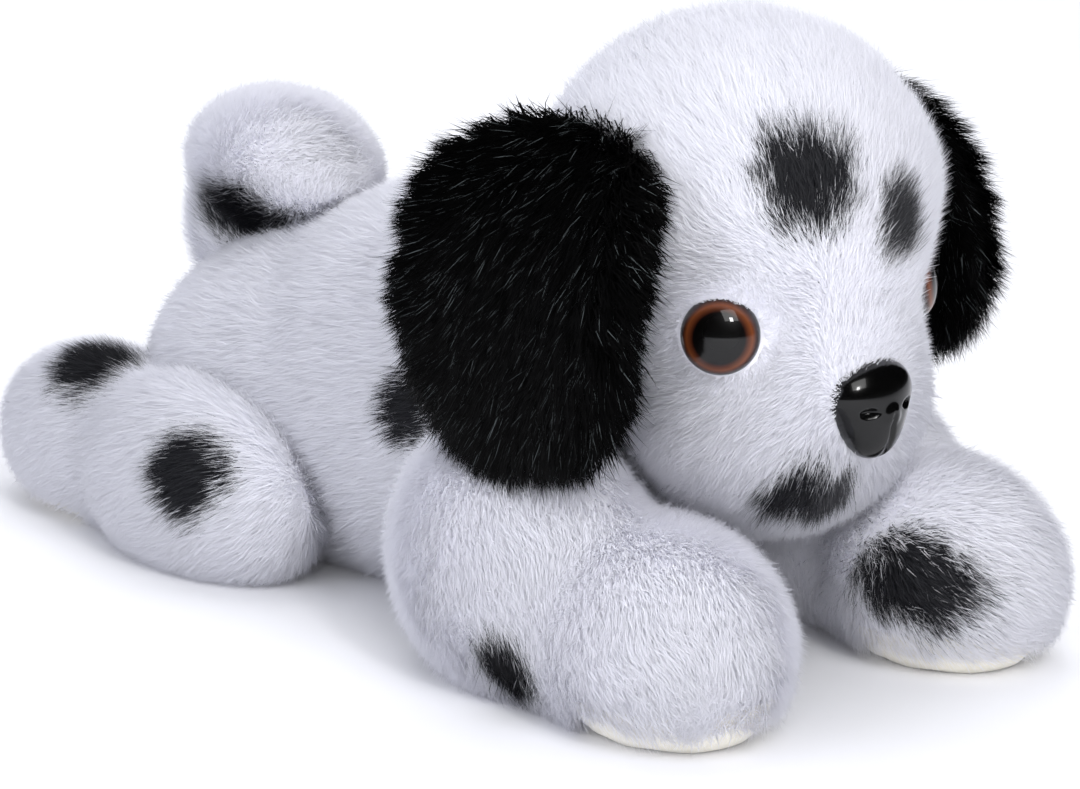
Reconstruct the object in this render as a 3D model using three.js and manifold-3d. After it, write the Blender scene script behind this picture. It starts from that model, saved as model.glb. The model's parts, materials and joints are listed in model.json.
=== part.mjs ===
// Plush spotted puppy, lying down, as separate sewn, stuffed and moulded pieces.
// Millimetres, +Z up. The puppy faces -Y and its left side is +X.
// Surfaces here are the fabric under the pile; the pile itself stands outside them.
import * as THREE from 'three';
import { mergeVertices } from 'three/addons/utils/BufferGeometryUtils.js';
import Module from 'manifold-3d';

// Overall sizes
const BODY_WIDTH = 76;
const BODY_LENGTH = 177;
const SHOULDER_HEIGHT = 92;
const HEAD_WIDTH = 82;
const LEG_WIDTH = 39;
const PAW_HEIGHT = 41;
const EAR_LENGTH = 65;
const EAR_WIDTH = 60;
const TAIL_LENGTH = 54;
const EYE_DIAMETER = 16.5;
const NOSE_WIDTH = 21.5;

// Fabric, clearances and joint ranges
const FABRIC = 1.6;
const GAP = 0.3;
const JOINT_GAP = 0.6;
const CHIN_HEIGHT = 35.5;
const EAR_CLEARANCE = 1;
const LIMB_CLEARANCE = 1.3;
const SOCKET_DEPTH = 5;
const HEAD_TURN_RANGE = 15;
const LEG_SPLAY_RANGE = 12;
const TAIL_WAG_RANGE = 25;

// The head is sewn on slightly turned to its left and tilted
const HEAD_TURN = 2;
const HEAD_TILT = -3;

const WHITE = '#e9e9f2';
const BLACK = '#17181b';
const CREAM = '#e8e4d8';
const FILL = '#f4f4f2';

const wasm = await Module();
wasm.setup();

// ---- closed solids and booleans ----

function toSolid(geometry) {
  const plain = geometry.clone();
  plain.deleteAttribute('normal');
  plain.deleteAttribute('uv');
  const welded = mergeVertices(plain, 1e-4);
  return new wasm.Manifold(new wasm.Mesh({
    numProp: 3,
    vertProperties: Float32Array.from(welded.attributes.position.array),
    triVerts: Uint32Array.from(welded.index.array)
  }));
}

function toGeometry(solid) {
  const mesh = solid.getMesh();
  const geometry = new THREE.BufferGeometry();
  geometry.setAttribute('position', new THREE.BufferAttribute(Float32Array.from(mesh.vertProperties), 3));
  geometry.setIndex(new THREE.BufferAttribute(Uint32Array.from(mesh.triVerts), 1));
  geometry.computeVertexNormals();
  return geometry;
}

// Block between two corners, used to cut panels along their seams
function block(x0, x1, y0, y1, z0, z1) {
  const geometry = new THREE.BoxGeometry(x1 - x0, y1 - y0, z1 - z0);
  geometry.translate((x0 + x1) / 2, (y0 + y1) / 2, (z0 + z1) / 2);
  return toSolid(geometry);
}

const FAR = 400;
const above = (z) => block(-FAR, FAR, -FAR, FAR, z, FAR);

// Round bar or disc whose axis starts at `at` and runs along `dir`
function disc(at, dir, radius, from, to, sides = 20) {
  const geometry = new THREE.CylinderGeometry(radius, radius, to - from, sides);
  geometry.translate(0, (from + to) / 2, 0);
  geometry.applyQuaternion(new THREE.Quaternion().setFromUnitVectors(new THREE.Vector3(0, 1, 0), dir));
  geometry.translate(at.x, at.y, at.z);
  return toSolid(geometry);
}

// ---- stuffed forms: rounded lobes seen from one inner point ----

// Distance from `from` along `dir` to the far side of an ellipsoid lobe grown by `grow`
function rayExit(from, dir, lobe, grow) {
  let a = 0;
  let b = 0;
  let c = -1;
  for (let k = 0; k < 3; k++) {
    const r = lobe.r[k] + grow;
    const p = from[k] - lobe.c[k];
    a += (dir[k] / r) ** 2;
    b += (p * dir[k]) / (r * r);
    c += (p / r) ** 2;
  }
  const root = b * b - a * c;
  return root <= 0 ? 0 : Math.max(0, (-b + Math.sqrt(root)) / a);
}

// Smooth union: the p-norm of the lobes' exit distances, less the dents pulled into the filling
function formRadius(form, dir, grow) {
  const p = 14;
  let sum = 0;
  for (const lobe of form.lobes) {
    sum += rayExit(form.centre, dir, lobe, grow) ** p;
  }
  let pulled = 0;
  for (const dent of form.dents ?? []) {
    const cosine = dent.dir[0] * dir[0] + dent.dir[1] * dir[1] + dent.dir[2] * dir[2];
    pulled += dent.depth * Math.exp((cosine - 1) / dent.spread);
  }
  return sum ** (1 / p) - pulled;
}

function formPoint(form, dir, grow = 0) {
  const t = formRadius(form, dir, grow);
  return new THREE.Vector3(form.centre[0] + t * dir[0], form.centre[1] + t * dir[1], form.centre[2] + t * dir[2]);
}

function formGeometry(form, grow, around, along) {
  const geometry = new THREE.SphereGeometry(1, around, along);
  const pos = geometry.attributes.position;
  const dir = new THREE.Vector3();
  for (let i = 0; i < pos.count; i++) {
    dir.fromBufferAttribute(pos, i);
    dir.set(dir.x * form.aspect[0], dir.y * form.aspect[1], dir.z * form.aspect[2]).normalize();
    const point = formPoint(form, dir.toArray(), grow);
    pos.setXYZ(i, point.x, point.y, point.z);
  }
  return geometry;
}

const formSolid = (form, grow, around, along) => toSolid(formGeometry(form, grow, around, along));

// Room swept by a form that turns about an upright axis through (x, y). The cutter is coarse, so
// it is grown by the depth of its own flats.
function sweptForm(form, grow, turns, x, y, around, place = new THREE.Matrix4()) {
  let room = null;
  const widest = Math.max(...form.lobes.map((lobe) => lobe.r[0]));
  const flats = widest * (1 - Math.cos(Math.PI / around)) + 0.4;
  for (const turn of turns) {
    const geometry = formGeometry(form, grow + flats, around, Math.round(around * 0.75));
    geometry.applyMatrix4(place);
    geometry.translate(-x, -y, 0);
    geometry.rotateZ(THREE.MathUtils.degToRad(turn));
    geometry.translate(x, y, 0);
    const solid = toSolid(geometry);
    room = room ? room.add(solid) : solid;
  }
  return room;
}

// ---- forms and where they sit ----

const bodyHalf = BODY_WIDTH / 2;
const legHalf = LEG_WIDTH / 2;
const bodyBack = BODY_LENGTH * 0.582;
const bodyFront = bodyBack - BODY_LENGTH;
const waistHeight = SHOULDER_HEIGHT * 0.945;
const rumpHeight = SHOULDER_HEIGHT * 0.76;
const chestReach = 46;
const rumpReach = 53;

// A lobe that reaches a little below the floor, so that cutting it there leaves a flat patch
const flat = 4;
function lyingLobe(y, halfWidth, reach, height) {
  return { c: [0, y, height / 2 - flat / 2], r: [halfWidth, reach, height / 2 + flat / 2] };
}

const body = {
  centre: [0, 8, 42],
  aspect: [1, 1.7, 1],
  lobes: [
    lyingLobe(bodyFront + chestReach, bodyHalf, chestReach, SHOULDER_HEIGHT),
    lyingLobe(10, bodyHalf - 1, chestReach, waistHeight),
    lyingLobe(bodyBack - rumpReach, bodyHalf + 3, rumpReach, rumpHeight)
  ]
};
const neck = {
  centre: [0, bodyFront + 22, SHOULDER_HEIGHT - 26],
  aspect: [1, 1, 1],
  lobes: [{ c: [0, bodyFront + 22, SHOULDER_HEIGHT - 26], r: [30, 26, 29] }]
};

// Head, in its own frame with the middle of the skull at zero
const headHalf = HEAD_WIDTH / 2;
const muzzleDrop = headHalf * 0.88;
const muzzleRadius = headHalf * 0.68;
const head = {
  centre: [0, -6, -headHalf * 0.34],
  aspect: [1, 1, 1],
  lobes: [
    { c: [0, 0, 0], r: [headHalf, headHalf * 0.965, headHalf * 0.95] },
    { c: [0, -headHalf * 0.19, -headHalf * 0.5], r: [headHalf * 0.8, headHalf * 0.74, headHalf * 0.8] },
    { c: [0, -headHalf * 0.26, -muzzleDrop], r: [muzzleRadius, muzzleRadius * 0.97, muzzleRadius] }
  ]
};

// Thread pulls each eye into a shallow socket
const socketSpread = 0.045;
const eyeDir = {};
for (const side of [-1, 1]) {
  const target = new THREE.Vector3(side * headHalf * 0.68, -headHalf * 0.55, -headHalf * 0.45);
  eyeDir[side] = target.sub(new THREE.Vector3(...head.centre)).normalize().toArray();
}
head.dents = [-1, 1].map((side) => ({ dir: eyeDir[side], depth: SOCKET_DEPTH, spread: socketSpread }));

const headAt = new THREE.Vector3(1, bodyFront - 13, CHIN_HEIGHT + muzzleDrop + muzzleRadius);
const neckPivot = new THREE.Vector3(0, bodyFront + 8, headAt.z - headHalf);
const headPlace = new THREE.Matrix4().makeTranslation(headAt.x, headAt.y, headAt.z)
  .multiply(new THREE.Matrix4().makeRotationZ(THREE.MathUtils.degToRad(HEAD_TURN)))
  .multiply(new THREE.Matrix4().makeRotationY(THREE.MathUtils.degToRad(HEAD_TILT)));

// Front leg: a shoulder lobe and a paw lobe. Hind leg: a thigh lobe and a foot lobe.
const frontX = bodyHalf + 6;
const hindX = bodyHalf + 6;
const thighReach = 36;
const footReach = 34;
function frontLeg(side) {
  return {
    centre: [side * (frontX - 2), bodyFront - 18, 24],
    aspect: [1, 1.5, 1],
    lobes: [
      { c: [side * frontX, bodyFront + 4, 26], r: [legHalf, 34, 29] },
      { c: [side * (frontX - 2), bodyFront - 20, 19], r: [legHalf * 0.86, 34, 21.5] },
      { c: [side * (frontX - 4), bodyFront - 39, PAW_HEIGHT / 2 - 2.5], r: [legHalf + 2, 26, PAW_HEIGHT / 2 + 2.5] }
    ]
  };
}
function hindLeg(side) {
  return {
    centre: [side * (hindX - 3), bodyBack - 31, 17],
    aspect: [1, 2, 1],
    lobes: [
      { c: [side * hindX, bodyBack - 58, PAW_HEIGHT / 2 - 2.5], r: [legHalf * 0.87, thighReach, PAW_HEIGHT / 2 + 2.5] },
      { c: [side * (hindX - 5), bodyBack - 7, PAW_HEIGHT / 2 - 2.5], r: [legHalf * 0.82, footReach, PAW_HEIGHT / 2] }
    ]
  };
}
const soleTop = 5;
const soleReach = 24;
const legs = [];
for (const side of [-1, 1]) {
  const name = side < 0 ? 'right' : 'left';
  legs.push({
    name: 'front_leg_' + name,
    side,
    form: frontLeg(side),
    pivot: [side * frontX, bodyFront + 6],
    soleMiddle: bodyFront - 47
  });
  legs.push({
    name: 'hind_leg_' + name,
    side,
    form: hindLeg(side),
    pivot: [side * (hindX - 3), bodyBack - 60],
    soleMiddle: bodyBack + 7
  });
}

// Tail: an upright stem at the rump and a plume that curls forward over the back
const tailY = bodyBack - 11;
const stemRadius = 10.5;
const stemMiddle = rumpHeight - 2;
const stemReach = 23;
const plumeMiddle = rumpHeight + 14.5;
const plumeRadius = 14;
const tail = {
  centre: [0, tailY - 4, rumpHeight + 12],
  aspect: [1, 1.4, 1.2],
  lobes: [
    { c: [0, tailY, stemMiddle], r: [stemRadius, stemRadius, stemReach] },
    { c: [0, tailY + 9 - TAIL_LENGTH / 2, plumeMiddle], r: [plumeRadius, TAIL_LENGTH / 2, plumeRadius] }
  ]
};
const tailPivot = new THREE.Vector3(0, tailY, rumpHeight - 12);

// ---- meshes ----

const group = new THREE.Group();
group.name = 'plush_puppy';

function material(colour, roughness, metalness = 0) {
  return new THREE.MeshStandardMaterial({ color: colour, roughness, metalness });
}

function place(name, solid, colour, roughness, matrix) {
  const geometry = toGeometry(solid);
  if (matrix) geometry.applyMatrix4(matrix);
  const mesh = new THREE.Mesh(geometry, material(colour, roughness));
  mesh.name = name;
  group.add(mesh);
}

// Body panels, cut around every limb's room
function limbRoom(grow, around) {
  const turns = [-HEAD_TURN_RANGE, HEAD_TURN_RANGE];
  let room = sweptForm(head, grow + JOINT_GAP, turns, neckPivot.x, neckPivot.y, around + 3, headPlace);
  for (const leg of legs) {
    const splay = [-LEG_SPLAY_RANGE, LEG_SPLAY_RANGE];
    room = room.add(sweptForm(leg.form, grow + LIMB_CLEARANCE, splay, leg.pivot[0], leg.pivot[1], around));
  }
  // The tail's stem is round about its own axis, so an upright bar clears it at every angle
  const sides = 12;
  const bar = (stemRadius + grow) / Math.cos(Math.PI / sides);
  const foot = new THREE.Vector3(0, tailY, stemMiddle - stemReach - grow);
  return room.add(disc(foot, new THREE.Vector3(0, 0, 1), bar, 0, 2 * stemReach, sides));
}

function bodySolid(inset, around, along, cutter) {
  const lump = formSolid(body, -inset, around, along).add(formSolid(neck, -inset, cutter, cutter - 2));
  return lump.intersect(above(inset)).subtract(limbRoom(JOINT_GAP + inset, cutter));
}

const bodyShell = bodySolid(0, 20, 16, 10).subtract(bodySolid(FABRIC, 12, 10, 7));
const bellySeam = 14;
place('body_panel_left', bodyShell.intersect(block(GAP / 2, FAR, -FAR, FAR, bellySeam + GAP, FAR)), WHITE, 0.9);
place('body_panel_right', bodyShell.intersect(block(-FAR, -GAP / 2, -FAR, FAR, bellySeam + GAP, FAR)), WHITE, 0.9);
place('belly_panel', bodyShell.intersect(block(-FAR, FAR, -FAR, FAR, -1, bellySeam)), WHITE, 0.9);

const bag = { centre: [0, 8, 4], aspect: [1, 1.6, 0.6], lobes: [{ c: [0, 8, 4], r: [bodyHalf * 0.42, 36, 16] }] };
const bagRoom = formSolid(bag, GAP, 14, 8);
const bodyFill = bodySolid(FABRIC + GAP, 12, 10, 7);
place('body_stuffing', bodyFill.subtract(bagRoom), FILL, 1);
place('bean_bag', formSolid(bag, 0, 14, 8).intersect(bodyFill), '#d9d2c0', 0.95);

// Oval dish that marks off a sole's patch at the tip of a leg
function solePatch(leg, grow) {
  const geometry = new THREE.CylinderGeometry(1, 1, 1, 16);
  geometry.rotateX(Math.PI / 2);
  geometry.scale(legHalf * 1.25 + grow, soleReach + grow, soleTop + 1 + grow);
  geometry.translate(leg.form.lobes.at(-1).c[0], leg.soleMiddle, (soleTop + grow - 1) / 2);
  return toSolid(geometry);
}

// Legs: two side panels, a short-pile sole and the filling
for (const leg of legs) {
  const outside = formSolid(leg.form, 0, 12, 9).intersect(above(0));
  const inside = formSolid(leg.form, -FABRIC, 12, 9).intersect(above(FABRIC));
  const shell = outside.subtract(inside);
  const sole = solePatch(leg, 0);
  const soleRoom = solePatch(leg, GAP);
  const sides = shell.subtract(soleRoom);
  const middle = leg.form.centre[0];
  const rightHalf = block(-FAR, middle - GAP / 2, -FAR, FAR, -1, FAR);
  const leftHalf = block(middle + GAP / 2, FAR, -FAR, FAR, -1, FAR);
  const outer = leg.side < 0 ? rightHalf : leftHalf;
  const inner = leg.side < 0 ? leftHalf : rightHalf;
  place(leg.name + '_outer', sides.intersect(outer), WHITE, 0.9);
  place(leg.name + '_inner', sides.intersect(inner), WHITE, 0.9);
  place(leg.name + '_sole', shell.intersect(sole), CREAM, 0.85);
  const filling = formSolid(leg.form, -FABRIC - GAP, 12, 9).intersect(above(FABRIC + GAP));
  place(leg.name + '_stuffing', filling, FILL, 1);
}

// Tail: two panels and the filling
const tailShell = formSolid(tail, 0, 12, 10).subtract(formSolid(tail, -FABRIC, 8, 6));
place('tail_panel_left', tailShell.intersect(block(GAP / 2, FAR, -FAR, FAR, -1, FAR)), WHITE, 0.9);
place('tail_panel_right', tailShell.intersect(block(-FAR, -GAP / 2, -FAR, FAR, -1, FAR)), WHITE, 0.9);
place('tail_stuffing', formSolid(tail, -FABRIC - GAP, 8, 6), FILL, 1);

// Eyes and nose sit on the face; each has a shank through the fabric and a washer behind it
const eyeRadius = EYE_DIAMETER / 2;
const shankRadius = eyeRadius * 0.25;
const washerRadius = eyeRadius * 0.75;
const washerDepth = 4.5;
const trim = [];
function addTrim(name, dir, facing, radius) {
  const at = formPoint(head, dir);
  trim.push({ name, at, facing, radius });
}
for (const side of [-1, 1]) {
  const facing = new THREE.Vector3(side * 0.72, -0.66, 0.12).normalize();
  addTrim(side < 0 ? 'eye_right' : 'eye_left', eyeDir[side], facing, eyeRadius);
}
const noseDir = new THREE.Vector3(0, -1, -0.68).normalize().toArray();
addTrim('nose', noseDir, new THREE.Vector3(0, -1, 0.08).normalize(), NOSE_WIDTH / 2);

let headShell = formSolid(head, 0, 22, 16).subtract(formSolid(head, -FABRIC, 12, 10));
let headFill = formSolid(head, -FABRIC - GAP, 12, 10);
for (const item of trim) {
  headShell = headShell.subtract(disc(item.at, item.facing, shankRadius + GAP, -12, 6, 8));
  headShell = headShell.subtract(disc(item.at, item.facing, item.radius + GAP, -GAP / 2, 12, 16));
  const washerRoom = disc(item.at, item.facing, washerRadius + GAP, -washerDepth - 2, -washerDepth + GAP, 10);
  headShell = headShell.subtract(washerRoom);
  headFill = headFill.subtract(disc(item.at, item.facing, washerRadius + GAP, -12, 6, 10));
  headFill = headFill.subtract(disc(item.at, item.facing, item.radius + GAP, -GAP / 2, 12, 16));
}

// The crown panel runs between the ears down to the brow; the chin panel is under the mouth
const crownHalf = headHalf * 0.36;
const crownBottom = -muzzleDrop * 0.5;
const chinTop = -muzzleDrop - muzzleRadius * 0.45;
const crown = block(-crownHalf, crownHalf, -FAR, FAR, crownBottom, FAR);
const crownRoom = block(-crownHalf - GAP, crownHalf + GAP, -FAR, FAR, crownBottom - GAP, FAR);
const chin = block(-FAR, FAR, -FAR, FAR, -FAR, chinTop);
const chinRoom = block(-FAR, FAR, -FAR, FAR, -FAR, chinTop + GAP);
const cheeks = headShell.subtract(crownRoom).subtract(chinRoom);
place('head_crown_panel', headShell.intersect(crown), WHITE, 0.9, headPlace);
place('head_chin_panel', headShell.intersect(chin), WHITE, 0.9, headPlace);
place('head_cheek_left', cheeks.intersect(block(GAP / 2, FAR, -FAR, FAR, -FAR, FAR)), WHITE, 0.9, headPlace);
place('head_cheek_right', cheeks.intersect(block(-FAR, -GAP / 2, -FAR, FAR, -FAR, FAR)), WHITE, 0.9, headPlace);
place('head_stuffing', headFill, FILL, 1, headPlace);

// Lens profile: flat back, bulging front
function domeGeometry(radius, height) {
  const profile = [new THREE.Vector2(0, 0)];
  const steps = 6;
  for (let i = 0; i <= steps; i++) {
    const a = (i / steps) * Math.PI / 2;
    profile.push(new THREE.Vector2(i === steps ? 0 : radius * Math.cos(a), height * Math.sin(a)));
  }
  return new THREE.LatheGeometry(profile, 18);
}

function seat(geometry, item, lift) {
  const turn = new THREE.Quaternion().setFromUnitVectors(new THREE.Vector3(0, 1, 0), item.facing);
  geometry.translate(0, lift, 0);
  geometry.applyQuaternion(turn);
  geometry.translate(item.at.x, item.at.y, item.at.z);
  return toSolid(geometry);
}

function washer(item) {
  const ring = disc(item.at, item.facing, washerRadius, -washerDepth - 1.5, -washerDepth, 10);
  return ring.subtract(disc(item.at, item.facing, shankRadius + 0.1, -washerDepth - 3, 0, 8));
}

const eyeBack = 1.2;
for (const item of trim.slice(0, 2)) {
  const back = disc(item.at, item.facing, eyeRadius, 0.1, eyeBack, 18)
    .add(disc(item.at, item.facing, shankRadius, -9, eyeBack / 2, 8));
  place(item.name + '_back', back, '#0d0d0d', 0.3, headPlace);
  place(item.name + '_dome', seat(domeGeometry(eyeRadius, eyeRadius * 0.62), item, eyeBack + 0.05), '#2e150c', 0.06, headPlace);
  place(item.name + '_washer', washer(item), '#e8e8e6', 0.5, headPlace);
}

// Nose: a rounded triangle, wide at the top, with two nostrils and a centre groove
const noseItem = trim[2];
const noseHalf = NOSE_WIDTH / 2;
const noseShape = {
  centre: [0, 0.5, 0],
  aspect: [1, 0.7, 1],
  lobes: [
    { c: [0, 0.5, noseHalf * 0.28], r: [noseHalf, noseHalf * 0.62, noseHalf * 0.66] },
    { c: [0, 0.3, -noseHalf * 0.3], r: [noseHalf * 0.6, noseHalf * 0.6, noseHalf * 0.75] }
  ]
};
const noseGeometry = formGeometry(noseShape, 0, 18, 12);
noseGeometry.translate(noseItem.at.x, noseItem.at.y, noseItem.at.z);
let nose = toSolid(noseGeometry);
for (const side of [-1, 1]) {
  const pit = new THREE.SphereGeometry(noseHalf * 0.2, 8, 6);
  pit.scale(1.3, 1, 0.8);
  pit.translate(side * noseHalf * 0.48, -noseHalf * 0.52, noseHalf * 0.1);
  pit.translate(noseItem.at.x, noseItem.at.y, noseItem.at.z);
  nose = nose.subtract(toSolid(pit));
}
nose = nose.intersect(block(-FAR, FAR, -FAR, noseItem.at.y - 0.1, -FAR, FAR));
nose = nose.add(disc(noseItem.at, noseItem.facing, shankRadius, -9, 1, 8));
place('nose', nose, '#0a0a0b', 0.12, headPlace);
place('nose_washer', washer(noseItem), '#e8e8e6', 0.5, headPlace);

// Ears: two rounded panels face to face, hung from a seam high on the side of the head
const EAR_OUTER = 2.6;
const EAR_INNER = 1.4;
const shoulderTop = 55;
const earTop = headHalf * 0.6;
const hingeX = Math.sqrt(headHalf ** 2 - earTop ** 2) + 1.6;
const tiltDrop = Math.sin(THREE.MathUtils.degToRad(Math.abs(HEAD_TILT))) * headHalf * 1.5;
const earRoom = headAt.z + earTop - tiltDrop - shoulderTop - EAR_CLEARANCE;
const earLength = Math.min(EAR_LENGTH, earRoom);
// The left ear is sewn on further back than the right one
const earMiddle = { [-1]: EAR_WIDTH * 0.11, [1]: EAR_WIDTH * 0.23 };
const earOutline = new THREE.CatmullRomCurve3([
  [-0.3, 0.05], [-0.45, 0.19], [-0.49, 0.42], [-0.46, 0.76], [-0.3, 0.93], [-0.02, 1],
  [0.26, 0.97], [0.43, 0.83], [0.52, 0.58], [0.54, 0.32], [0.4, 0.08], [0.02, 0]
].map(([w, d]) => new THREE.Vector3(w * EAR_WIDTH, d * earLength, 0)), true);

// The ear's sheet starts at the seam, flares out over the cheek and hangs
function earSheet(side, w, d) {
  const flare = headHalf * 0.6;
  const fall = headHalf * 0.52;
  const x = hingeX + flare * (1 - Math.exp(-d / fall));
  const slope = (flare / fall) * Math.exp(-d / fall);
  const normal = new THREE.Vector3(1, 0, slope).normalize();
  return { at: new THREE.Vector3(x, earMiddle[side] + w, earTop - 1 - d), normal };
}

function earPanel(side, thickness, outward) {
  const geometry = new THREE.SphereGeometry(1, 20, 6);
  const pos = geometry.attributes.position;
  const middleD = earLength * 0.5;
  for (let i = 0; i < pos.count; i++) {
    const lift = pos.getY(i);
    const reach = Math.sqrt(Math.max(0, 1 - lift * lift));
    const angle = Math.atan2(pos.getZ(i), pos.getX(i)) / (2 * Math.PI);
    const rim = earOutline.getPoint((angle + 1) % 1);
    const w = rim.x * reach;
    const d = middleD + (rim.y - middleD) * reach;
    const sheet = earSheet(side, w, d);
    const swell = lift > 1e-6 ? thickness * lift ** 0.6 : 0;
    const offset = outward * (GAP / 2 + swell);
    const point = sheet.at.addScaledVector(sheet.normal, offset);
    pos.setXYZ(i, side * point.x, point.y, point.z);
  }
  return geometry;
}

// A mapped sphere may come out inside out; turn its faces the right way round
function facingOut(geometry) {
  const pos = geometry.attributes.position;
  const index = geometry.index.array;
  const a = new THREE.Vector3();
  const b = new THREE.Vector3();
  const c = new THREE.Vector3();
  let volume = 0;
  for (let i = 0; i < index.length; i += 3) {
    a.fromBufferAttribute(pos, index[i]);
    b.fromBufferAttribute(pos, index[i + 1]);
    c.fromBufferAttribute(pos, index[i + 2]);
    volume += a.dot(b.cross(c));
  }
  if (volume < 0) {
    for (let i = 0; i < index.length; i += 3) {
      const keep = index[i + 1];
      index[i + 1] = index[i + 2];
      index[i + 2] = keep;
    }
  }
  return geometry;
}

for (const side of [-1, 1]) {
  const name = side < 0 ? 'ear_right' : 'ear_left';
  place(name + '_outer', toSolid(facingOut(earPanel(side, EAR_OUTER, 1))), BLACK, 0.8, headPlace);
  place(name + '_inner', toSolid(facingOut(earPanel(side, EAR_INNER, -1))), BLACK, 0.8, headPlace);
}

// Stand the puppy on its bounding box's bottom centre
const box = new THREE.Box3().setFromObject(group);
const shift = new THREE.Vector3(-(box.min.x + box.max.x) / 2, -(box.min.y + box.max.y) / 2, 0);
for (const mesh of group.children) {
  mesh.geometry.translate(shift.x, shift.y, shift.z);
}

// Where each joint turns, in millimetres, for the parts list
const headSpin = new THREE.Matrix4().extractRotation(headPlace);
group.userData.joints = {
  head_turn: neckPivot.clone().add(shift).toArray(),
  tail_wag: tailPivot.clone().add(shift).toArray()
};
for (const leg of legs) {
  group.userData.joints[leg.name] = [leg.pivot[0] + shift.x, leg.pivot[1] + shift.y, PAW_HEIGHT / 2];
}
for (const side of [-1, 1]) {
  const name = side < 0 ? 'ear_right' : 'ear_left';
  const pivot = new THREE.Vector3(side * (hingeX - 1), earMiddle[side], earTop + 1).applyMatrix4(headPlace).add(shift);
  const axis = new THREE.Vector3(0, -side, 0).applyMatrix4(headSpin);
  group.userData.joints[name] = pivot.toArray().concat(axis.toArray());
}

export default group;
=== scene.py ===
# %% [markdown]
# # A plush spotted puppy, lying down
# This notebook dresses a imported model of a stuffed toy. The solids already exist; here they get
# smooth stuffed skins, a long combed pile made of fine blades, moulded eyes and a nose, and light.

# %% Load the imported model
import json
import bpy
import numpy as np
from mathutils import Matrix, Vector


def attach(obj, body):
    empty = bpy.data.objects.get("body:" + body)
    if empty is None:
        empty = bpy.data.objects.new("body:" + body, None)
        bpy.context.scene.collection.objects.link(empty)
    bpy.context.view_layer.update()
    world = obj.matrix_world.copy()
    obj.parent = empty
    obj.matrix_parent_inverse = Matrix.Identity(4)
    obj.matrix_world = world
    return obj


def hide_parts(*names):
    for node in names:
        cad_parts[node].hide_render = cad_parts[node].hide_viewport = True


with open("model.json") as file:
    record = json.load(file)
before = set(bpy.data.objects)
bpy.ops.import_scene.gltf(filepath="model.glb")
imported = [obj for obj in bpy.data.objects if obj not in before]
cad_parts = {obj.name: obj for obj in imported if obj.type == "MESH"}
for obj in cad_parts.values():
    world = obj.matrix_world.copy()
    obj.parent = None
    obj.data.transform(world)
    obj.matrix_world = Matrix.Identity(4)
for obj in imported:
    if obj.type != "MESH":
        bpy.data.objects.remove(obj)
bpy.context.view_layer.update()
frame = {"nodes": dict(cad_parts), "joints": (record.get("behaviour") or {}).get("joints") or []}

MM = 0.001

# %% [markdown]
# The toy is laid out from a few driving sizes, in millimetres, the same ones its solids use.
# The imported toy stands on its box's bottom centre, so it was moved along Y. The tail's joint
# tells how far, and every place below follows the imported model.

# %% Driving sizes
BODY_WIDTH = 76.0
BODY_LENGTH = 177.0
SHOULDER_HEIGHT = 92.0
HEAD_WIDTH = 82.0
LEG_WIDTH = 39.0
PAW_HEIGHT = 41.0
EAR_LENGTH = 64.9
EAR_WIDTH = 60.0
TAIL_LENGTH = 54.0
EYE_DIAMETER = 16.5
NOSE_WIDTH = 21.5
CHIN_HEIGHT = 35.5
HEAD_TURN = 2.0
HEAD_TILT = -3.0

body_half = BODY_WIDTH / 2
leg_half = LEG_WIDTH / 2
head_half = HEAD_WIDTH / 2
eye_half = EYE_DIAMETER / 2
nose_half = NOSE_WIDTH / 2
body_back = BODY_LENGTH * 0.582
body_front = body_back - BODY_LENGTH
tail_y = body_back - 11
rump_height = SHOULDER_HEIGHT * 0.76
leg_x = body_half + 6
joint_at = {j["name"]: np.array(j["pos_m"]) / MM for j in frame["joints"]}
shift = np.array([0.0, joint_at["tail_wag"][1] - tail_y, 0.0])
SIDES = {"right": -1, "left": 1}
rng = np.random.default_rng(7)
print("shift of the toy, mm:", shift.round(2))

# %% [markdown]
# A stuffed form is a few rounded lobes seen from one point inside them all. It could be sculpted
# or simulated, but under a long pile only its outline shows. So along each direction the surface
# lies at the p-norm of the distances at which a ray leaves the lobes, which joins them softly, as
# filling does under tight fabric.

# %% Where a ray leaves a lobe
def ray_exit(centre, directions, lobe_centre, lobe_radii):
    """Far root t of |(centre + t d - lobe centre) / radii| = 1, or 0 where the ray misses."""
    d = directions / lobe_radii
    p = (centre - lobe_centre) / lobe_radii
    a = (d * d).sum(-1)
    b = (d * p).sum(-1)
    c = (p * p).sum() - 1
    root = b * b - a * c
    return np.where(root > 0, np.maximum(0, -b + np.sqrt(np.maximum(root, 0))) / a, 0)


print("a ray leaves a ball of radius 2 at", ray_exit(np.zeros(3), np.eye(3), np.zeros(3), 2.0))

# %% Rounded forms
class Form:
    """Lobes around one inner centre: radius = (sum of exit distances ** p) ** (1 / p).

    A dent takes depth * exp((cos(angle from its aim) - 1) / spread) off the radius. The aspect
    stretches the grid of directions, so that a long form gets even faces.
    """

    def __init__(self, centre, aspect, lobes, power=14, dents=()):
        self.centre = np.array(centre, float)
        self.aspect = np.array(aspect, float)
        self.lobes = [(np.array(c, float), np.array(r, float)) for c, r in lobes]
        self.power = power
        self.dents = [(np.array(aim, float) / np.linalg.norm(aim), depth, spread)
                      for aim, depth, spread in dents]

    def points(self, directions):
        directions = directions / np.linalg.norm(directions, axis=-1, keepdims=True)
        total = sum(ray_exit(self.centre, directions, c, r) ** self.power for c, r in self.lobes)
        reach = total ** (1 / self.power)
        for aim, depth, spread in self.dents:
            reach = reach - depth * np.exp((directions @ aim - 1) / spread)
        return self.centre + directions * reach[..., None]

    def depth(self, points):
        """How deep a point lies in the deepest lobe: 1 - its scaled distance from the centre."""
        return np.max([1 - np.linalg.norm((points - c) / r, axis=-1) for c, r in self.lobes], axis=0)


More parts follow.
